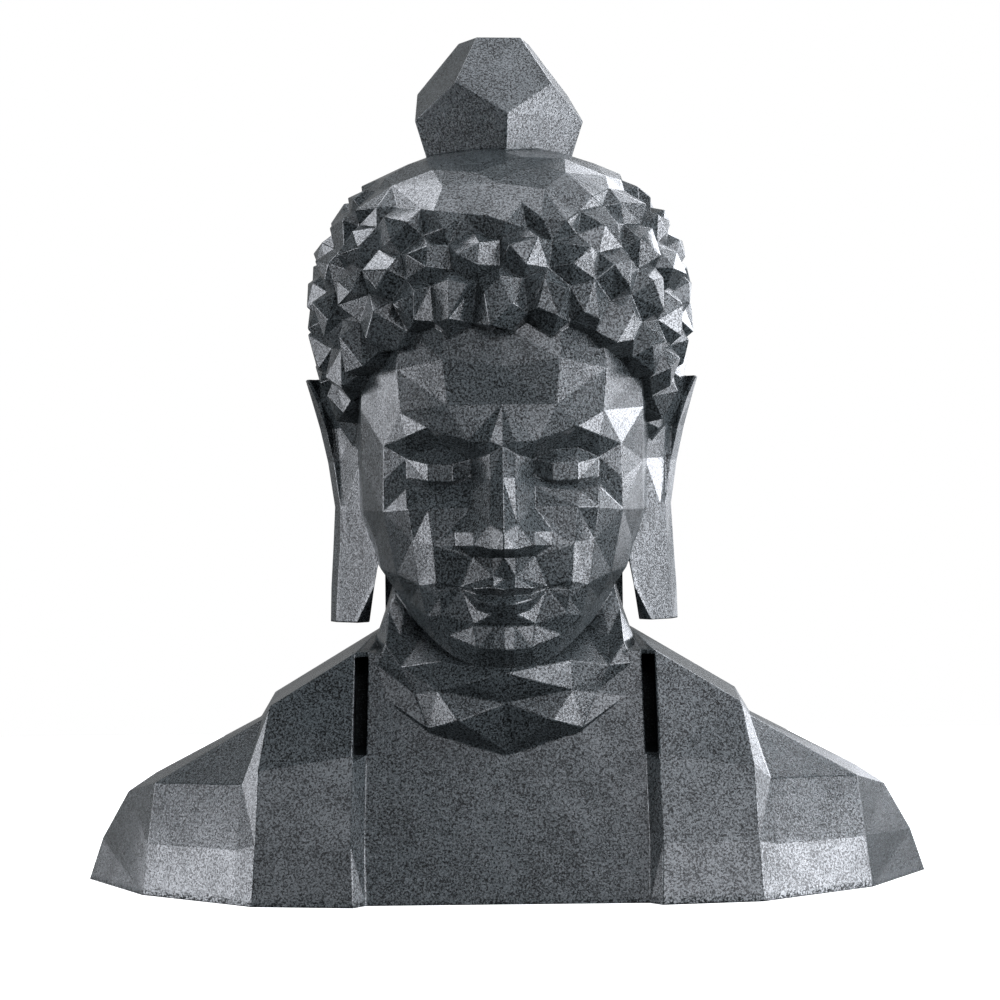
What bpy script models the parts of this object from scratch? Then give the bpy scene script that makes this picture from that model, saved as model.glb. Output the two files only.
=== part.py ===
"""A faceted Buddha bust, cast in one piece and standing on its own flat underside.

Metres, +Z up. The bust looks towards -Y and stands on the floor, z = 0, with the origin under the
middle of its shoulders. Every surface is made of flat facets, large and calm on the robe and small
and restless on the curls of the hair.
"""

import math

import bmesh
import bpy
from mathutils import Matrix, Vector, noise

# The bust's proportions are counted in units, 594 to its height, which are millimetres at this size
BUST_HEIGHT = 0.594
UNIT = BUST_HEIGHT / 594

# The torso, cut off flat below the shoulders
SHOULDER_WIDTH = 598 * UNIT
CHEST_REACH = 140 * UNIT
BACK_REACH = 118 * UNIT
SHOULDER_SET_BACK = 18 * UNIT
COLLAR_HEIGHT = 180 * UNIT
CHEST_LEAN = 0.27

# The robe: a flat panel on each side hangs over the shoulder and stands proud of the chest
PANEL_INNER = 102 * UNIT
PANEL_OUTER = 170 * UNIT
PANEL_PROUD = 10.5 * UNIT
PANEL_EDGE = 8 * UNIT
PANEL_TURN = 0.17
# The panel bends back at two heights: it leans by the first of these below both, then by the next
FOOT_HEIGHT = 40 * UNIT
BREAST_HEIGHT = 98 * UNIT
PANEL_LEANS = (0.14, 0.25, 0.38)
SEAM_WIDTH = 12.5 * UNIT
# Above this height the robe's inner edge stands clear of the chest, with a deep dark gap between them
GAP_FROM = 93 * UNIT
GAP_DEPTH = 22 * UNIT
GAP_LAP = 0.5 * UNIT

# The head and its face
CHIN_HEIGHT = 153 * UNIT
HAIRLINE_HEIGHT = 385 * UNIT
HEAD_WIDTH = 206 * UNIT
FACE_REACH = 134 * UNIT
HEAD_BACK_REACH = 105 * UNIT
OVAL_POWER = 2.4
FACE_FACETS = 0.70

# The hair: one cap of curls whose hem slopes down from the forehead to the nape
HAIR_WIDTH = 262 * UNIT
HAIR_DEPTH = 288 * UNIT
CROWN_HEIGHT = 515 * UNIT
HAIR_CENTRE_HEIGHT = 408 * UNIT
HAIR_CENTRE_BACK = 6 * UNIT
HAIRLINE_SLOPE = math.radians(31)
DOME_SQUARENESS = 2.2
CURL_WIDTH = 37 * UNIT
CURL_RISE = 7.8 * UNIT
HAIR_FACETS = 0.55
# The front of the crown is smooth, within this angle of a direction leaning this far forward
SMOOTH_REACH = math.radians(36)
SMOOTH_LEAN = math.radians(22)

# The topknot: a stretched dodecahedron, turned a little
TOPKNOT_WIDTH = 126 * UNIT
TOPKNOT_HEIGHT = 104 * UNIT
TOPKNOT_TURN = math.radians(7)
TOPKNOT_ASIDE = 2 * UNIT

# The ears
EAR_TOP = 355 * UNIT
LOBE_BOTTOM = 182.5 * UNIT

STONE_GREY = (0.085, 0.093, 0.098, 1.0)
STONE_ROUGHNESS = 0.42


def clear_scene():
    for obj in list(bpy.data.objects):
        bpy.data.objects.remove(obj)


def collection_named(name):
    made = bpy.data.collections.new(name)
    bpy.context.scene.collection.children.link(made)
    return made


def cast_stone():
    """Grey cast stone with a satin surface."""
    material = bpy.data.materials.new("cast_stone")
    material.use_nodes = True
    shader = material.node_tree.nodes["Principled BSDF"]
    shader.inputs["Base Color"].default_value = STONE_GREY
    shader.inputs["Roughness"].default_value = STONE_ROUGHNESS
    shader.inputs["Metallic"].default_value = 0.0
    return material


def object_from(name, mesh_edit, collection, diagonals="BEAUTY"):
    """An object whose mesh is the bmesh mesh_edit in flat facets. The bmesh is freed."""
    bmesh.ops.remove_doubles(mesh_edit, verts=mesh_edit.verts, dist=1e-6)
    bmesh.ops.triangulate(mesh_edit, faces=mesh_edit.faces, quad_method=diagonals)
    bmesh.ops.recalc_face_normals(mesh_edit, faces=mesh_edit.faces)
    mesh = bpy.data.meshes.new(name)
    mesh_edit.to_mesh(mesh)
    mesh_edit.free()
    obj = bpy.data.objects.new(name, mesh)
    collection.objects.link(obj)
    return obj


def as_guide(obj):
    """A shape that only takes part in a Boolean, and isn't a piece itself."""
    obj.hide_render = True
    obj.display_type = "WIRE"
    return obj


def mirrored(obj):
    """Adds the other half across x = 0, joined along the middle."""
    mirror = obj.modifiers.new("other_half", "MIRROR")
    mirror.use_clip = True
    mirror.merge_threshold = 0.0001


def broad_facets(obj, share, symmetric=False):
    """Merges the flattest of a shape's facets until a share of them is left."""
    thin = obj.modifiers.new("broad_facets", "DECIMATE")
    thin.ratio = share
    thin.use_symmetry = symmetric
    thin.symmetry_axis = "X"


def join(target, others, operation="UNION"):
    """Makes the target one body with the others, or takes them away from it."""
    for other in others:
        step = target.modifiers.new(other.name, "BOOLEAN")
        step.operation = operation
        step.solver = "EXACT"
        step.object = other


def in_units(points):
    return [(x * UNIT, y * UNIT, z * UNIT) for x, y, z in points]


def loft(outlines, closed):
    """A skin through outlines of equally many points. Where closed, each outline's ends meet."""
    skin = bmesh.new()
    rings = [[skin.verts.new(point) for point in outline] for outline in outlines]
    count = len(rings[0])
    for low, high in zip(rings, rings[1:]):
        for i in range(count if closed else count - 1):
            j = (i + 1) % count
            skin.faces.new((low[i], low[j], high[j], high[i]))
    return skin, rings


def chest(x, z):
    """A point on the chest, which is one plane."""
    return x, -CHEST_REACH + CHEST_LEAN * z, z


def panel(x, z):
    """A point on the robe's panel, whose flats turn away from the middle and lean back."""
    lean, middle_lean, top_lean = PANEL_LEANS
    foot, middle, top = min(z, FOOT_HEIGHT), min(z, BREAST_HEIGHT) - FOOT_HEIGHT, z - BREAST_HEIGHT
    back = lean * foot + middle_lean * max(0, middle) + top_lean * max(0, top)
    return x, back - CHEST_REACH - PANEL_PROUD + PANEL_TURN * (x - PANEL_INNER), z


def torso_outlines():
    """Outlines of half the torso in planes across it, from the breastbone out to the shoulder.

    Each runs up the front at its base, low, middle and top, over the ridge, then down the back. The
    front's places are shares of its reach, and the shoulder's are shares of its half width.
    """
    half, back = SHOULDER_WIDTH / 2, BACK_REACH
    edge, seam = PANEL_INNER - PANEL_EDGE, PANEL_OUTER + SEAM_WIDTH
    low, bend, top = FOOT_HEIGHT, BREAST_HEIGHT, COLLAR_HEIGHT * 0.922
    slope_top = COLLAR_HEIGHT * 0.728

    def front(x, share, height):
        return x, -CHEST_REACH * share, COLLAR_HEIGHT * height

    def rear(x, share, height):
        return x, back * share, COLLAR_HEIGHT * height

    return [
        # the middle of the chest and of the back
        [chest(0, 0), chest(0, low), chest(0, bend), chest(0, COLLAR_HEIGHT * 0.86),
         rear(0, 0, 0.92), rear(0, 0.59, 0.92), rear(0, 0.95, 0.47), rear(0, 1.0, 0)],
        # the chest's edge, under the robe's
        [chest(edge, 0), chest(edge * 1.01, low), chest(edge, bend), chest(edge * 0.985, top),
         rear(edge * 0.83, 0, 0.944), rear(edge * 0.77, 0.51, 0.933), rear(edge * 0.93, 0.92, 0.5),
         rear(edge * 0.93, 1.0, 0)],
        # the robe's inner edge
        [panel(PANEL_INNER, 0), panel(PANEL_INNER * 1.012, low), panel(PANEL_INNER, bend),
         panel(PANEL_INNER * 0.99, top), rear(PANEL_INNER * 0.84, -0.04, 1.0),
         rear(PANEL_INNER * 0.80, 0.51, 0.983), rear(PANEL_INNER * 0.93, 0.97, 0.51),
         rear(PANEL_INNER * 0.96, 1.03, 0)],
        # the robe's outer edge
        [panel(PANEL_OUTER, 0), panel(PANEL_OUTER * 0.986, low), panel(PANEL_OUTER * 0.976, bend * 0.9),
         panel(PANEL_OUTER * 0.932, slope_top), rear(PANEL_OUTER * 0.964, 0.085, 0.739),
         rear(PANEL_OUTER * 0.916, 0.525, 0.678), rear(PANEL_OUTER * 0.970, 0.88, 0.417),
         rear(PANEL_OUTER, 0.93, 0)],
        # the shoulder's edge of the seam
        [front(seam, 0.914, 0), front(seam * 0.995, 0.871, 0.200), front(seam * 0.975, 0.775, 0.438),
         front(seam * 0.922, 0.393, 0.656), rear(seam * 0.953, 0.085, 0.644),
         rear(seam * 0.920, 0.475, 0.600), rear(seam * 0.986, 0.78, 0.378), rear(seam * 1.013, 0.84, 0)],
        # the middle of the shoulder
        [front(half * 0.838, 0.514, 0), front(half * 0.824, 0.490, 0.192),
         front(half * 0.810, 0.408, 0.420), front(half * 0.826, 0.058, 0.436),
         rear(half * 0.815, 0.186, 0.431), rear(half * 0.800, 0.339, 0.400),
         rear(half * 0.820, 0.610, 0.222), rear(half * 0.840, 0.661, 0)],
        # the rim of the shoulder's tip, which is a narrow facing of its own
        [(half * x, SHOULDER_SET_BACK + y * UNIT, COLLAR_HEIGHT * z) for x, y, z in (
            (1.0, 0, 0), (0.965, -4, 0.168), (0.895, -24, 0.360), (0.885, -14, 0.369),
            (0.876, 12, 0.367), (0.880, 30, 0.322), (0.940, 38, 0.161), (0.968, 42, 0))],
    ]


def torso(collection):
    skin, rings = loft(torso_outlines(), closed=True)
    tip = rings[-1]
    for i in range(3):
        skin.faces.new((tip[i], tip[i + 1], tip[6 - i], tip[7 - i]))
    obj = object_from("buddha_bust", skin, collection)
    mirrored(obj)
    return obj


def robe_gap(collection):
    """What the gap beside the chest takes away, as slices from its foot up to the shoulder's ridge."""
    def across(height, depth):
        share = (height - BREAST_HEIGHT) / (COLLAR_HEIGHT * 0.922 - BREAST_HEIGHT)
        inner = (PANEL_INNER - PANEL_EDGE) * (1 - 0.015 * share) - GAP_LAP
        outer = PANEL_INNER * (1 - 0.01 * share) + GAP_LAP
        surface = chest(inner, height)[1]
        front, floor = surface - 3 * PANEL_PROUD, surface + depth
        return [(x, y, height) for x, y in ((inner, front), (outer, front), (outer, floor), (inner, floor))]

    slices = [across(GAP_FROM, -2 * PANEL_PROUD), across(GAP_FROM + 9 * UNIT, GAP_DEPTH),
              across(COLLAR_HEIGHT * 0.905, GAP_DEPTH)]
    skin, made = loft(slices, closed=True)
    skin.faces.new(made[0])
    skin.faces.new(made[-1])
    obj = object_from("robe_gap", skin, collection)
    mirrored(obj)
    return as_guide(obj)


def neck(collection):
    """The neck with its two folds, as rings from the throat round to the nape."""
    # along the lower fold, then in the hollow between the folds, then along the upper one
    tip, tip_side = (0, -116, 99.5), (26, -114, 107)
    fold_side, fold_end = (52, -112, 114.5), (81, -105.5, 135)
    dip, fold_middle = (0, -123, 132.5), (31, -128.5, 121)
    crease_side, crease_end = (45, -119, 140.5), (61, -108, 138)
    throat, throat_side, throat_end = (0, -131, 153), (24, -127, 146), (44, -112, 160)
    # up the side, from the chest to the ear
    hollow, collar, corner = (70, -105, 156), (86, -99, 157), (81, -90, 171)
    under_jaw, under_ear = (71, -80, 174), (80, -60, 192)
    fronts = (
        ((0, -95, 75), (26, -95, 80), (48, -90, 90), (74, -60, 105), (80, -60, 115)),
        (tip, tip_side, fold_side, fold_end, fold_end),
        (tip, fold_middle, fold_side, fold_end, fold_end),
        (dip, fold_middle, fold_side, fold_end, fold_end),
        (dip, crease_side, crease_side, crease_end, collar),
        (throat, throat_side, crease_side, hollow, collar),
        (throat, throat_end, throat_end, hollow, corner),
        ((0, -85, 178), (35, -80, 178), (55, -72, 178), under_jaw, under_ear),
        ((0, -60, 235), (25, -60, 235), (45, -45, 235), (62, -25, 235), (72, -20, 235)),
    )
    # the side of each ring: half width, how far forward, height
    sides = ((90, -30, 120), (90, -58, 140), (90, -58, 140), (90, -58, 140), (90, -55, 157),
             (90, -52, 160), (90, -45, 172), (84, -12, 191), (84, -10, 240))
    rings = []
    for front, (width, reach, height) in zip(fronts, sides):
        nape = ((width, reach, height), (width * 0.74, 52, height + 8), (0, 76, height + 8))
        rings.append(in_units(front + nape))
    skin, made = loft(rings, closed=False)
    skin.faces.new(made[0])
    skin.faces.new(made[-1])
    obj = object_from("neck", skin, collection, diagonals="SHORT_EDGE")
    mirrored(obj)
    return as_guide(obj)


# The face, by thirds from hairline to brow, brow to nose and nose to chin, and five eyes wide. Rows go
# up from the jaw and columns out from the middle. A row has its height as a share of the face's, its
# half width as a share of the head's and its reach as a share of the face's. Then, in thousandths of
# the face's height, it has how far each column stands out from a plain oval and how far it is raised.
FACE_COLUMNS = (0.0, 0.08, 0.205, 0.33, 0.49, 0.63, 0.80, 0.94)
# Above the brow the columns close up in groups, which leaves a few broad facets
FOREHEAD_COLUMNS = (0.0, 0.0, 0.37, 0.37, 0.37, 0.68, 0.68, 0.94)
FOREHEAD_FROM = 0.72
LEVEL = (0, 0, 0, 0, 0, 0, 0, 0)
FLAT_BROW = (-18, -18, 0, 0, 0, 0, 0, 0)
FACE_ROWS = {
    "jaw": (0.000, 0.70, 0.925, LEVEL, LEVEL),
    "chin": (0.068, 0.77, 0.985, (34, 30, 14, 0, -6, 0, 0, 0), LEVEL),
    "chin hollow": (0.134, 0.83, 1.000, (6, 4, 0, -6, 0, 4, 0, 0), LEVEL),
    "lip foot": (0.172, 0.85, 1.015, (24, 22, -4, -18, -2, 4, 0, 0), (-4, -4, 8, 50, 14, 0, 0, 0)),
    "lower lip": (0.200, 0.87, 1.020, (42, 40, 18, -24, -2, 4, 2, 0), (-2, -2, 6, 30, 8, 0, 0, 0)),
    "mouth line": (0.222, 0.88, 1.020, (14, 14, 2, -34, -4, 4, 2, 0), (-4, 2, 0, 12, 0, 0, 0, 0)),
    "upper lip": (0.240, 0.89, 1.020, (48, 50, 22, -26, 0, 6, 4, 0), (0, 6, 0, 0, 0, 0, 0, 0)),
    "lip crest": (0.274, 0.90, 1.015, (20, 32, 4, -12, 4, 8, 4, 0), (-6, 4, -12, -32, 0, 0, 0, 0)),
    "nose foot": (0.332, 0.92, 1.010, (36, 30, 8, 2, 10, 12, 4, 0), LEVEL),
    "nostrils": (0.362, 0.94, 1.005, (116, 90, 54, 0, 14, 16, 6, 0), (-8, -6, 4, 0, 0, 0, 0, 0)),
    "nose tip": (0.404, 0.96, 1.000, (126, 86, 42, 0, 16, 20, 8, 0), LEVEL),
    "cheekbone": (0.472, 0.99, 0.995, (88, 60, -10, -8, 16, 28, 18, 0), LEVEL),
    "lower lid": (0.530, 1.00, 0.990, (58, 40, -38, -26, -14, 6, 14, 0), (0, 0, 4, -12, -12, 2, 0, 0)),
    "lid gap": (0.556, 1.00, 0.990, (44, 28, -66, -46, -40, -44, 2, 0), (0, 0, 8, -16, -14, 6, 0, 0)),
    "upper lid": (0.566, 1.00, 0.990, (40, 26, -64, -22, -18, -42, 0, 0), (0, 0, 0, -16, -14, 0, 0, 0)),
    "eyeball": (0.602, 1.00, 0.990, (30, 18, -66, -26, -20, -38, -4, 0), (0, 0, -16, -2, 0, -16, 0, 0)),
    "lid fold": (0.630, 1.00, 0.990, (22, 14, -60, -62, -54, -38, -8, 0), (0, 0, -16, 10, 16, -10, -14, 0)),
    "brow": (0.666, 1.00, 0.985, (24, 26, 14, 8, 8, 4, 0, 0), (-6, -2, -6, 22, 40, 16, -24, 0)),
    "low forehead": (0.770, 1.01, 0.990, FLAT_BROW, LEVEL),
    "forehead": (0.880, 1.01, 0.980, FLAT_BROW, LEVEL),
    "hairline": (1.000, 0.98, 0.950, FLAT_BROW, LEVEL),
    "under the hair": (1.100, 0.86, 0.840, FLAT_BROW, LEVEL),
}
# These rows go right round the head. The others end on the cheek, by running into the row below
ROUND_ROWS = ("jaw", "chin", "lower lip", "nose foot", "cheekbone", "lid gap", "brow", "low forehead",
              "forehead", "hairline", "under the hair")
CHEEK_COLUMN = 6
# The jaw climbs towards the ears by this share of the face's height, and is level from here up
JAW_RISE = 0.22
JAW_LEVEL = 0.42
# The plain parts of the face are this uneven, in shares of its height, so that no facets line up
UNEVEN = 0.030


def oval(share):
    """Reach of a plain oval at a share of its half width."""
    return (1 - min(1.0, share) ** OVAL_POWER) ** (1 / OVAL_POWER)


def plainness(height, share):
    """1 on the forehead and the outer cheeks, 0 around the eyes, the nose and the mouth."""
    if height > FOREHEAD_FROM:
        return 1.0 if share > 0.05 else 0.0
    return 1.0 if share > 0.7 else 0.0


def face_row(height, width, reach, relief, lift):
    """One row of the head's skin from the middle of the face round to the middle of the back."""
    face = HAIRLINE_HEIGHT - CHIN_HEIGHT
    half = HEAD_WIDTH / 2 * width
    rise = JAW_RISE * max(0.0, 1 - height / JAW_LEVEL)
    columns = FOREHEAD_COLUMNS if height > FOREHEAD_FROM else FACE_COLUMNS
    row = []
    for share, out, up in zip(columns, relief, lift):
        uneven = UNEVEN * plainness(height, share)
        share += 1.6 * uneven * noise.noise(Vector((share * 9, height * 17, 1.5)))
        level = height + rise * share ** 2.2 + up / 1000
        level += 1.4 * uneven * noise.noise(Vector((share * 9, height * 17, 7.5)))
        row.append((half * share, -FACE_REACH * reach * oval(share) - face * out / 1000,
                    CHIN_HEIGHT + face * level))
    side = CHIN_HEIGHT + face * (height + rise)
    back = HEAD_BACK_REACH * (0.68 + 0.32 * min(1.0, height * 1.5))
    row.append((half, 0, side))
    for share in (0.86, 0.5, 0.0):
        row.append((half * share, back * oval(share), side))
    return row


def head(collection):
    """The head under the hair, with the face in front."""
    rows = []
    for name, row in FACE_ROWS.items():
        points = face_row(*row)
        if name not in ROUND_ROWS:
            points[CHEEK_COLUMN:] = rows[-1][CHEEK_COLUMN:]
        rows.append(points)
    under = [(x * 0.62, y * 0.62, z + 12 * UNIT) for x, y, z in rows[0]]
    skin, made = loft([under] + rows, closed=False)
    skin.faces.new(made[0])
    skin.faces.new(made[-1])
    obj = object_from("head", skin, collection)
    mirrored(obj)
    broad_facets(obj, FACE_FACETS, symmetric=True)
    return as_guide(obj)


def ears(collection):
    """Two long ears, each set like a door ajar, with a hollow inside its rim and a heavy free lobe."""
    # share of the ear's height; outer and inner edge from the head's side; front; rim; hollow; bevel
    levels = (
        (1.000, 37.3, 26.0, 0, 22, 0, 2),
        (0.913, 33.3, 8.0, -12, 30, 4, 2),
        (0.800, 28.0, -4.0, -22, 33, 11, 3),
        (0.660, 22.5, -9.0, -26, 31, 5, 3),
        (0.475, 17.0, -13.0, -27, 15.4, 0, 2),
        (0.290, 18.7, -17.0, -31, 15.5, 0, 1),
        (0.145, 20.4, -12.5, -27, 17.8, 0, 1),
        (0.000, 21.2, -7.5, -16, 19.8, 0, 8),
    )
    half = HEAD_WIDTH / 2 / UNIT
    sections = []
    for share, outer, inner, front, rim, hollow, bevel in levels:
        outer, inner, wide = outer + half, inner + half, outer - inner
        z = (LOBE_BOTTOM + (EAR_TOP - LOBE_BOTTOM) * share) / UNIT
        sections.append(in_units((
            (inner, front + bevel * 1.4, z), (inner + bevel, front, z),
            (inner + bevel + wide * 0.10, front + 4 + hollow, z),
            (outer - wide * 0.30, rim - 23 + hollow * 0.8, z),
            (outer - wide * 0.16, rim - 18, z), (outer, rim - 4, z),
            (outer - 2, rim + 4, z), (outer - wide * 0.40, rim, z),
            (inner + wide * 0.05, (front + rim) / 2 + 8, z))))
    skin, made = loft(sections, closed=True)
    skin.faces.new(made[0])
    skin.faces.new(made[-1])
    pair = object_from("ears", skin, collection)
    mirror = pair.modifiers.new("other_ear", "MIRROR")
    mirror.use_mirror_merge = False
    return as_guide(pair)


# The rows of curls, as angles from a pole at the back of the crown: those that show, then two under
# the hem that the last row leans on
CURL_ROWS = (122, 107.5, 93, 79, 65, 51, 36, 20, 137, 155)
EVEN_ROWS = (90, 150)


def curl_centres():
    """Directions of the curls' middles from the middle of the head."""
    girth = math.pi * (HAIR_WIDTH + HAIR_DEPTH) / 2
    centres = [Vector((0, 0, 1)), Vector((0, 0, -1))]
    for row, polar in enumerate(CURL_ROWS):
        count = max(6, round(girth * math.sin(math.radians(polar)) / CURL_WIDTH))
        if EVEN_ROWS[0] < polar < EVEN_ROWS[1]:
            count = round(girth / CURL_WIDTH)
        for k in range(count):
            wander = 4.0 if polar < 115 else 1.6
            down = math.radians(polar + wander * noise.noise(Vector((polar, k * 1.7, 3.1))))
            along = k + 0.5 * (row % 2) + 0.10 * noise.noise(Vector((polar, k * 2.3, 8.4)))
            turn = along * math.tau / count - math.pi / 2
            centres.append(Vector((math.sin(down) * math.cos(turn), math.sin(down) * math.sin(turn),
                                   math.cos(down))))
    return centres


def turn_about(axis, direction):
    """The angle of a direction about an axis, for putting corners in order round a curl."""
    side = axis.orthogonal().normalized()
    return math.atan2(direction.dot(axis.cross(side)), direction.dot(side))


def curl_skin(on_head, curliness):
    """The skin of the whole cap: each curl is an uneven top with sides down to its hollows.

    The hull of the curls' middles gives each curl's neighbours. A hollow lies in the middle of each
    of the hull's triangles, between three curls.
    """
    cells = bmesh.new()
    for direction in curl_centres():
        cells.verts.new(direction)
    bmesh.ops.convex_hull(cells, input=cells.verts)
    cells.faces.index_update()
    corners = [face.calc_center_median().normalized() for face in cells.faces]
    skin = bmesh.new()
    hollows = [skin.verts.new(on_head(c, CURL_RISE * (0.28 - 0.80 * curliness(c)))) for c in corners]
    for middle in cells.verts:
        around = sorted(middle.link_faces, key=lambda face: turn_about(middle.co, corners[face.index]))
        top = []
        for face in around:
            corner = corners[face.index]
            uneven = noise.noise(corner * 9 + middle.co * 5)
            toward = middle.co.lerp(corner, 0.50 + 0.30 * uneven)
            rise = 0.30 + curliness(toward) * (0.25 + 0.5 * uneven)
            top.append(skin.verts.new(on_head(toward, CURL_RISE * rise)))
        skin.faces.new(top)
        for i in range(len(around)):
            j = (i + 1) % len(around)
            low_i, low_j = hollows[around[i].index], hollows[around[j].index]
            skin.faces.new((top[i], low_i, low_j, top[j]))
    cells.free()
    bmesh.ops.triangulate(skin, faces=skin.faces)
    return skin


def hair(collection):
    """The cap of curls, drawn in under its hem and cut off where the head hides it."""
    tilt = Matrix.Rotation(-HAIRLINE_SLOPE, 3, "X")
    up = Vector((0, math.sin(HAIRLINE_SLOPE), math.cos(HAIRLINE_SLOPE)))
    centre = Vector((0, HAIR_CENTRE_BACK, HAIR_CENTRE_HEIGHT))
    size = Vector((HAIR_WIDTH / 2, HAIR_DEPTH / 2, CROWN_HEIGHT - HAIR_CENTRE_HEIGHT))
    smooth = Vector((0, -math.sin(SMOOTH_LEAN), math.cos(SMOOTH_LEAN)))
    hem = (Vector((0, -FACE_REACH, HAIRLINE_HEIGHT)) - centre).dot(up)
    tuck, cut_off = 4 * UNIT, 22 * UNIT

    def on_head(direction, rise):
        """The point this far out from the head's dome in a direction, drawn in under the hem."""
        point = tilt @ direction.normalized()
        point /= sum(abs(c) ** DOME_SQUARENESS for c in point) ** (1 / DOME_SQUARENESS)
        body = Vector((point.x * size.x, point.y * size.y, point.z * size.z))
        if body.z < 0:
            body.z *= 1.35
        body += body.normalized() * rise
        drop = hem - tuck - body.dot(up)
        if drop > 0:
            body *= 1 - min(0.35, drop / (30 * UNIT))
        return centre + body

    def curliness(direction):
        """Near 0 on the smooth front of the crown, 1 where the curls stand out fully."""
        away = (tilt @ direction.normalized()).angle(smooth)
        return min(1.0, max(0.08, (away - SMOOTH_REACH) / math.radians(9)))

    skin = curl_skin(on_head, curliness)
    everything = list(skin.verts) + list(skin.edges) + list(skin.faces)
    cut = bmesh.ops.bisect_plane(skin, geom=everything, plane_co=centre + up * (hem - cut_off),
                                 plane_no=up, clear_inner=True)
    rim = [piece for piece in cut["geom_cut"] if isinstance(piece, bmesh.types.BMEdge)]
    bmesh.ops.edgeloop_fill(skin, edges=rim)
    obj = object_from("hair", skin, collection)
    broad_facets(obj, HAIR_FACETS)
    return as_guide(obj)


def topknot(collection):
    """A dodecahedron stretched upwards, as the hull of four rings of five corners."""
    # radius as a share of the width, height as a share of the height, turn as a share of a side. They
    # are such that each of the ten sides is flat
    rings = ((0.3803, 0.0, 0.0), (0.500, 0.4338, 0.0), (0.455, 0.66, 0.5), (0.210, 1.0, 0.5))
    skin = bmesh.new()
    for radius, height, offset in rings:
        for k in range(5):
            angle = math.tau / 5 * (k + offset) + TOPKNOT_TURN - math.pi / 2
            reach = radius * TOPKNOT_WIDTH
            skin.verts.new((reach * math.cos(angle) - TOPKNOT_ASIDE,
                            reach * math.sin(angle) + HAIR_CENTRE_BACK,
                            BUST_HEIGHT - TOPKNOT_HEIGHT * (1 - height)))
    bmesh.ops.convex_hull(skin, input=skin.verts)
    return as_guide(object_from("topknot", skin, collection))


clear_scene()
BUST = collection_named("buddha_bust")
SHAPES = collection_named("joined_shapes")
bust = torso(BUST)
bust.data.materials.append(cast_stone())
join(bust, [robe_gap(SHAPES)], "DIFFERENCE")
join(bust, [neck(SHAPES), head(SHAPES), ears(SHAPES), hair(SHAPES), topknot(SHAPES)])
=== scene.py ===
"""A faceted Buddha bust in speckled cast stone, on a plain pale floor under soft studio light.

Metres, +Z up. The bust looks towards -Y, and x grows to the viewer's right.
"""

import math

import bmesh
import bpy
from mathutils import Matrix, Vector, noise


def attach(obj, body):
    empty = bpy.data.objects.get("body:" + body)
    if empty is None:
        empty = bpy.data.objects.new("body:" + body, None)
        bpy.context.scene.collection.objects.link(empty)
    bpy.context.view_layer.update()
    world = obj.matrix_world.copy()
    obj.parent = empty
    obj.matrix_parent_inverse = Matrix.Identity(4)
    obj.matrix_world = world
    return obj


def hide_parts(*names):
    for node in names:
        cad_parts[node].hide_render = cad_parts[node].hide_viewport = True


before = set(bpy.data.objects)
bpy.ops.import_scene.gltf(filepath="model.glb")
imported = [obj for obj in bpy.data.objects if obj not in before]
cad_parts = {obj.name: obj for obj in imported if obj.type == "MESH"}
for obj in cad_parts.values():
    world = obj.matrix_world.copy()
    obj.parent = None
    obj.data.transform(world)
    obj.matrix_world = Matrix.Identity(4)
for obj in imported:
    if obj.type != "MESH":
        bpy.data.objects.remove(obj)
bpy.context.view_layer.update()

# The picture: its side in pixels, the lens as a focal length in pixels, and the camera's place
PICTURE_SIDE = 1000
FOCAL_PIXELS = 2930
CAMERA_DISTANCE = 2.08
CAMERA_HEIGHT = 0.268
CAMERA_ASIDE = -0.0021
CAMERA_ROLL = math.radians(-0.65)
SENSOR_WIDTH = 36.0

# The casting's facets, in metres: corners as near as the weld are one corner, triangles that meet at less
# than the flat angle are one facet, and an edge shorter than the shortest one is a sliver
WELD = 0.00002
FLAT_ANGLE = math.radians(1.5)
SHORTEST_EDGE = 0.0022
# The casting's edges, in metres: the round of a long plain edge, and of the small ones on the curls, where
# facets meet at more than the sharp angle
PLAIN_EDGE_ROUND = 0.0009
CURL_EDGE_ROUND = 0.0006
SHARP_ANGLE = math.radians(9)
EDGE_SEGMENTS = 2
# The heights that the curls lie between
CURLS_FROM = 0.30
CURLS_TO = 0.52
# How the round differs from edge to edge, as shares of its full size: the middle, how far it swings round
# that, and the least. The wander is how fast it changes along a metre, and no round takes more than a share
# of its edge's length
ROUND_MIDDLE = 0.75
ROUND_SWING = 0.5
ROUND_LEAST = 0.2
ROUND_WANDER = 23
ROUND_OF_LENGTH = 0.22

# The stone's colours: the ground, the palest grains, and the black of the flecks and of the darker specks at
# the base, which is also painted into the gap as its shade
STONE_PALE = "#4a5052"
STONE_GRAIN = "#5e6668"
FLECK_AND_SHADE_BLACK = "#0d0f0f"
# The stone's patterns: the millimetres from one patch to the next, how many finer layers lie on that, and
# how strong those are. The grain is coarser than real sand, which wouldn't show from where the camera stands
GATHERING = (24.0, 2.0, 0.5)
FLECKS = (1.35, 3.0, 0.75)
GRAIN = (1.0, 1.0, 0.7)
HAND_WAVE = (26.0, 2.0, 0.45)
# How much the gathering crowds the flecks, and what each pattern turns into between two of its values
GATHERING_SHARE = 0.12
BLACK_OF_FLECKS = {"From Min": 0.51, "From Max": 0.61}
BASE_SPECKS_OF_FLECKS = {"From Min": 0.46, "From Max": 0.52}
PALE_OF_GRAIN = {"From Min": 0.52, "From Max": 0.78, "To Max": 0.45}
# The bottom edge is darker and matt in specks, which fade out a few millimetres above the floor
BASE_DARK_OF_HEIGHT = {"From Min": 0.0055, "From Max": 0.0, "To Max": 1.4}
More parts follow.
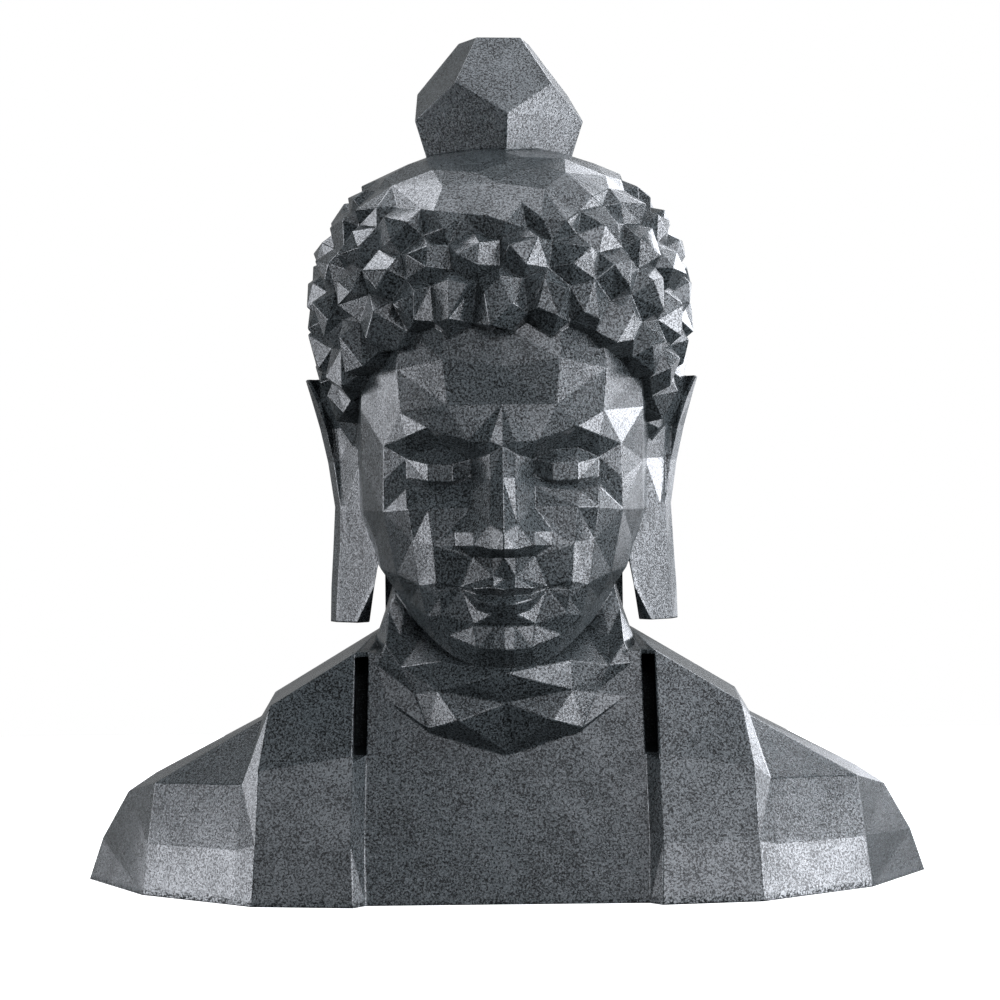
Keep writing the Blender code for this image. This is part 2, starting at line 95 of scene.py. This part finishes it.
# The sealer mirrors less where the stone is dark, and less again where it is matt
GLOSS_OF_DARK = {"To Min": 0.84, "To Max": 0.26}
GLOSS_OF_MATT = {"To Min": 1.0, "To Max": 0.25}
ROUGH_OF_GRAIN = {"From Min": 0.3, "From Max": 0.7, "To Min": 0.21, "To Max": 0.31}
ROUGH_OF_GATHERING = {"From Min": 0.35, "From Max": 0.65, "To Min": -0.02, "To Max": 0.02}
ROUGH_OF_MATT = 0.35
SEALER_IOR = 1.5
# How deep the rubbing hand's waves and the grain are, in metres
WAVE_DEPTH = 0.00035
GRAIN_DEPTH = 0.00007
# The painted shade in the gap behind the robe's inner edge, in metres: the middle and the half of its reach
# across the bust, up it, and back from y = 0 on a plane that leans as the chest does
GAP_ASIDE = (0.0978, 0.0060)
GAP_UP = (0.1290, 0.0365)
GAP_BACK = (-0.1238, 0.0150)
CHEST_LEAN = 0.27

# The shader nodes' sums, and the numbers of a colour mix's sockets, whose names repeat
MULTIPLY = {"operation": "MULTIPLY"}
MAXIMUM = {"operation": "MAXIMUM"}
MIX_FIRST = 6
MIX_SECOND = 7
MIX_RESULT = 2

FLOOR_SIZE = 2.6
FLOOR_WHITE = "#f1f1ef"
FLOOR_GLOW_WHITE = "#ffffff"
FLOOR_GLOW = 0.75

# How bright the studio's walls are, where white paper in full light is 1, and how they dim towards the
# floor, by how steeply one looks up or down at them
FRONT_WALL = 0.02
SIDE_WALL = 0.02
BACK_WALL = 0.35
WALLS_OF_HEIGHT = {"From Min": -0.30, "From Max": 0.05, "To Min": 0.12}

# The soft lights: the side and distance of each in metres, and the height that they are turned to. Then
# their names, azimuths, elevations and powers in watts. Azimuth 0 is in front of the bust, and 90 is to the
# viewer's right
SOFTBOX_WHITE = "#f4f7ff"
SOFTBOX_SIZE = 1.0
SOFTBOX_DISTANCE = 2.6
SOFTBOX_AIM = 0.30
SOFTBOXES = (
    ("right_low", 77, -2, 50), ("right_high", 60, 38, 36), ("right_top", 60, 60, 9),
    ("right_side", 130, 15, 42), ("right_beside", 108, 2, 15), ("right_back", 150, 36, 23),
    ("right_back_low", 150, 3, 7), ("right_back_top", 120, 60, 7), ("front_right", 25, 3, 17),
    ("front_high", 13, 30, 16), ("front_left", -25, 10, 7), ("left_low", -77, -1, 31),
    ("left_side", -110, 3, 16), ("left_top", -120, 60, 26), ("top", 0, 88, 12),
)


def linear(code):
    """The linear colour of an sRGB hex code."""
    channels = [int(code[start:start + 2], 16) / 255 for start in (1, 3, 5)]
    return [c / 12.92 if c <= 0.04045 else ((c + 0.055) / 1.055) ** 2.4 for c in channels] + [1.0]


def per_metre(millimetres):
    """A texture's scale for a pattern that repeats about every so many millimetres."""
    return 1000.0 / millimetres


def feed(tree, node, feeds):
    """Links a node's sockets to outputs, or to the first output of other nodes."""
    for name, source in feeds.items():
        output = source.outputs[0] if isinstance(source, bpy.types.Node) else source
        tree.links.new(output, node.inputs[name])


def add_node(tree, kind, settings=None, feeds=None):
    """A shader node. Settings are its own values or its sockets', and feeds are what its sockets get."""
    node = tree.nodes.new(kind)
    for name, value in (settings or {}).items():
        if isinstance(name, str) and hasattr(node, name):
            setattr(node, name, value)
        else:
            node.inputs[name].default_value = value
    feed(tree, node, feeds or {})
    return node


def new_material(name, settings):
    """A material whose shader has these settings."""
    material = bpy.data.materials.new(name)
    material.use_nodes = True
    for socket, value in settings.items():
        material.node_tree.nodes["Principled BSDF"].inputs[socket].default_value = value
    return material


def painted_gap_shade(tree, aside, back, upward):
    """A node that is 1 in the gaps behind the robe's inner edges, where shade is painted in, and 0
    elsewhere.
    """
    sides = add_node(tree, "ShaderNodeMath", {"operation": "ABSOLUTE"}, {0: aside})
    lean = {"operation": "MULTIPLY_ADD", 1: -CHEST_LEAN}
    behind = add_node(tree, "ShaderNodeMath", lean, {0: upward, 2: back})
    reaches = []
    for way, (middle, half) in ((sides, GAP_ASIDE), (upward, GAP_UP), (behind, GAP_BACK)):
        within = {"operation": "COMPARE", 1: middle, 2: half}
        reaches.append(add_node(tree, "ShaderNodeMath", within, {0: way}))
    strip = add_node(tree, "ShaderNodeMath", MULTIPLY, {0: reaches[0], 1: reaches[1]})
    return add_node(tree, "ShaderNodeMath", MULTIPLY, {0: strip, 1: reaches[2]})


def cast_stone():
    """Cast stone, black-flecked and rubbed smooth, under a satin sealer.

    The sealer gives each facet a soft but bright reflection, so the facets differ far more by what they
    mirror than by their colour. Under it lies a mid grey with a little green, crowded with dark flecks.
    The gaps behind the robe's edges are painted nearly black and matt as their shade.
    """
    material = new_material("satin_cast_stone", {"IOR": SEALER_IOR})
    tree = material.node_tree
    place = add_node(tree, "ShaderNodeTexCoord").outputs["Object"]
    noises = []
    for spacing, layers, strength in (GATHERING, FLECKS, GRAIN, HAND_WAVE):
        settings = {"Scale": per_metre(spacing), "Detail": layers, "Roughness": strength}
        noises.append(add_node(tree, "ShaderNodeTexNoise", settings, {"Vector": place}))
    gathering, flecks, grain, wave = noises
    aside, back, upward = add_node(tree, "ShaderNodeSeparateXYZ", feeds={"Vector": place}).outputs

    # The black flecks are matt pits in the sealer, so they darken what a facet mirrors as well
    crowd = {"operation": "MULTIPLY_ADD", 1: GATHERING_SHARE}
    crowded = add_node(tree, "ShaderNodeMath", crowd, {0: gathering, 2: flecks})
    black = add_node(tree, "ShaderNodeMapRange", BLACK_OF_FLECKS, {"Value": crowded})
    # The last few millimetres above the floor are darker and matt, in specks
    base_speckle = add_node(tree, "ShaderNodeMapRange", BASE_SPECKS_OF_FLECKS, {"Value": flecks})
    low = add_node(tree, "ShaderNodeMapRange", BASE_DARK_OF_HEIGHT, {"Value": upward})
    dark_base = add_node(tree, "ShaderNodeMath", MULTIPLY, {0: low, 1: base_speckle})
    # Shade is painted into the gap behind the robe's edge: nearly black, rough and barely mirroring
    gap_shade = painted_gap_shade(tree, aside, back, upward)
    flecks_and_dark_base = add_node(tree, "ShaderNodeMath", MAXIMUM, {0: black, 1: dark_base})
    dark = add_node(tree, "ShaderNodeMath", MAXIMUM, {0: flecks_and_dark_base, 1: gap_shade})
    matt = add_node(tree, "ShaderNodeMath", MAXIMUM, {0: dark_base, 1: gap_shade})

    # The ground darkens to black with the flecks, the darker specks at the base and the painted shade in the
    # gap
    ground = {"data_type": "RGBA", MIX_FIRST: linear(STONE_PALE), MIX_SECOND: linear(FLECK_AND_SHADE_BLACK)}
    flecked = add_node(tree, "ShaderNodeMix", ground, {"Factor": dark}).outputs[MIX_RESULT]
    pale = add_node(tree, "ShaderNodeMapRange", PALE_OF_GRAIN, {"Value": grain})
    sand = {"data_type": "RGBA", MIX_SECOND: linear(STONE_GRAIN)}
    colour = add_node(tree, "ShaderNodeMix", sand, {"Factor": pale, MIX_FIRST: flecked}).outputs[MIX_RESULT]

    clear = add_node(tree, "ShaderNodeMapRange", GLOSS_OF_DARK, {"Value": dark})
    smooth = add_node(tree, "ShaderNodeMapRange", GLOSS_OF_MATT, {"Value": matt})
    gloss = add_node(tree, "ShaderNodeMath", MULTIPLY, {0: clear, 1: smooth})
    fine = add_node(tree, "ShaderNodeMapRange", ROUGH_OF_GRAIN, {"Value": grain})
    broad = add_node(tree, "ShaderNodeMapRange", ROUGH_OF_GATHERING, {"Value": gathering})
    sealed = add_node(tree, "ShaderNodeMath", {"operation": "ADD"}, {0: fine, 1: broad})
    raw = {"operation": "MULTIPLY_ADD", 1: ROUGH_OF_MATT}
    rough = add_node(tree, "ShaderNodeMath", raw, {0: matt, 2: sealed})
    waves = add_node(tree, "ShaderNodeBump", {"Distance": WAVE_DEPTH}, {"Height": wave})
    grains = add_node(tree, "ShaderNodeBump", {"Distance": GRAIN_DEPTH}, {"Height": grain, "Normal": waves})
    surface = {"Base Color": colour, "Specular IOR Level": gloss, "Roughness": rough, "Normal": grains}
    feed(tree, tree.nodes["Principled BSDF"], surface)
    return material


def floor_white():
    """A matt white board that is lit through from below, so that shadows stay faint on it."""
    settings = {"Base Color": linear(FLOOR_WHITE), "Roughness": 0.9, "Specular IOR Level": 0.1,
                "Emission Color": linear(FLOOR_GLOW_WHITE), "Emission Strength": FLOOR_GLOW}
    return new_material("backlit_white_acrylic", settings)


def select_alone(obj):
    bpy.ops.object.select_all(action="DESELECT")
    bpy.context.view_layer.objects.active = obj
    obj.select_set(True)


def whole_casting(node):
    """A copy of the casting's solid as plane facets, with no slivers between them."""
    casting = bpy.data.objects.new("casting", node.data.copy())
    bpy.context.scene.collection.objects.link(casting)
    select_alone(casting)
    bpy.ops.object.mode_set(mode="EDIT")
    bpy.ops.mesh.select_all(action="SELECT")
    bpy.ops.mesh.remove_doubles(threshold=WELD)
    bpy.ops.mesh.dissolve_limited(angle_limit=FLAT_ANGLE)
    bpy.ops.mesh.dissolve_degenerate(threshold=SHORTEST_EDGE)
    bpy.ops.object.mode_set(mode="OBJECT")
    return casting


def edge_round(edge):
    """How round an edge is, as a share of the roundest: hand-rubbed, so it varies from edge to edge."""
    middle = (edge.verts[0].co + edge.verts[1].co) / 2
    share = ROUND_MIDDLE + ROUND_SWING * noise.noise(middle * ROUND_WANDER)
    if CURLS_FROM < middle.z < CURLS_TO:
        share *= CURL_EDGE_ROUND / PLAIN_EDGE_ROUND
    widest = edge.calc_length() * ROUND_OF_LENGTH / PLAIN_EDGE_ROUND
    return max(ROUND_LEAST, min(1.0, share, widest))


def soften_edges(casting):
    """Rounds the sharp edges as a mould and a rub with sandpaper leave them."""
    shape = bmesh.new()
    shape.from_mesh(casting.data)
    weight = shape.edges.layers.float.new("bevel_weight_edge")
    for edge in shape.edges:
        if len(edge.link_faces) == 2 and edge.calc_face_angle() > SHARP_ANGLE:
            edge[weight] = edge_round(edge)
    shape.to_mesh(casting.data)
    shape.free()
    soft = casting.modifiers.new("rubbed_edges", "BEVEL")
    soft.limit_method = "WEIGHT"
    soft.width = PLAIN_EDGE_ROUND
    soft.segments = EDGE_SEGMENTS
    soft.use_clamp_overlap = False
    select_alone(casting)
    bpy.ops.object.modifier_apply(modifier=soft.name)


def buddha_casting(material):
    """The bust itself, which takes the place of its plain solid."""
    casting = whole_casting(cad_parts["buddha_bust"])
    soften_edges(casting)
    casting.name = casting.data.name = "speckled_casting"
    casting.data.materials.clear()
    casting.data.materials.append(material)
    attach(casting, "root")
    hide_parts("buddha_bust")


def white_floor(material):
    """The floor, which isn't mirrored in the bust and throws no light up on it."""
    bpy.ops.object.select_all(action="DESELECT")
    bpy.ops.mesh.primitive_plane_add(size=FLOOR_SIZE, location=(0, 0, 0))
    floor = bpy.context.active_object
    floor.name = "floor"
    floor.data.materials.append(material)
    floor.visible_glossy = floor.visible_diffuse = False


def softbox(name, azimuth, elevation, power):
    """A square soft light on a ball round the bust."""
    turn, lift = math.radians(azimuth), math.radians(elevation)
    outward = Vector((math.sin(turn) * math.cos(lift), -math.cos(turn) * math.cos(lift), math.sin(lift)))
    data = bpy.data.lights.new(name, "AREA")
    data.size = SOFTBOX_SIZE
    data.energy = power
    data.color = linear(SOFTBOX_WHITE)[:3]
    lamp = bpy.data.objects.new(name, data)
    lamp.location = Vector((0, 0, SOFTBOX_AIM)) + SOFTBOX_DISTANCE * outward
    lamp.rotation_euler = outward.to_track_quat("Z", "Y").to_euler()
    bpy.context.scene.collection.objects.link(lamp)


def studio_walls():
    """A bright wall behind the bust and a dim one before it. Only the camera sees plain white all round."""
    world = bpy.data.worlds.new("studio")
    world.use_nodes = True
    tree = world.node_tree
    direction = add_node(tree, "ShaderNodeTexCoord").outputs["Generated"]
    ways = add_node(tree, "ShaderNodeSeparateXYZ", feeds={"Vector": direction}).outputs
    along = add_node(tree, "ShaderNodeMapRange", {"From Min": -1.0}, {"Value": ways["Y"]})
    above = add_node(tree, "ShaderNodeMapRange", WALLS_OF_HEIGHT, {"Value": ways["Z"]})
    walls = add_node(tree, "ShaderNodeValToRGB", feeds={"Fac": along})
    ramp = walls.color_ramp
    ramp.interpolation = "B_SPLINE"
    ramp.elements.new(0.5)
    for element, brightness in zip(ramp.elements, (FRONT_WALL, SIDE_WALL, BACK_WALL)):
        element.color = (brightness, brightness, brightness, 1.0)
    seen = add_node(tree, "ShaderNodeLightPath").outputs["Is Camera Ray"]
    white = {"data_type": "RGBA", MIX_SECOND: (1.0, 1.0, 1.0, 1.0)}
    shown = add_node(tree, "ShaderNodeMix", white, {"Factor": seen, MIX_FIRST: walls.outputs["Color"]})
    bright = add_node(tree, "ShaderNodeMath", MAXIMUM, {0: seen, 1: above})
    feed(tree, tree.nodes["Background"], {"Color": shown.outputs[MIX_RESULT], "Strength": bright})
    bpy.context.scene.world = world


def camera():
    data = bpy.data.cameras.new("camera")
    data.sensor_width = SENSOR_WIDTH
    data.lens = SENSOR_WIDTH * FOCAL_PIXELS / PICTURE_SIDE
    obj = bpy.data.objects.new("camera", data)
    place = Matrix.Translation((CAMERA_ASIDE, -CAMERA_DISTANCE, CAMERA_HEIGHT))
    level = Matrix.Rotation(math.radians(90), 4, "X")
    obj.matrix_world = place @ level @ Matrix.Rotation(CAMERA_ROLL, 4, "Z")
    bpy.context.scene.collection.objects.link(obj)
    bpy.context.scene.camera = obj


camera()
studio_walls()
for light in SOFTBOXES:
    softbox(*light)
white_floor(floor_white())
buddha_casting(cast_stone())
bpy.context.scene.view_settings.view_transform = "Standard"
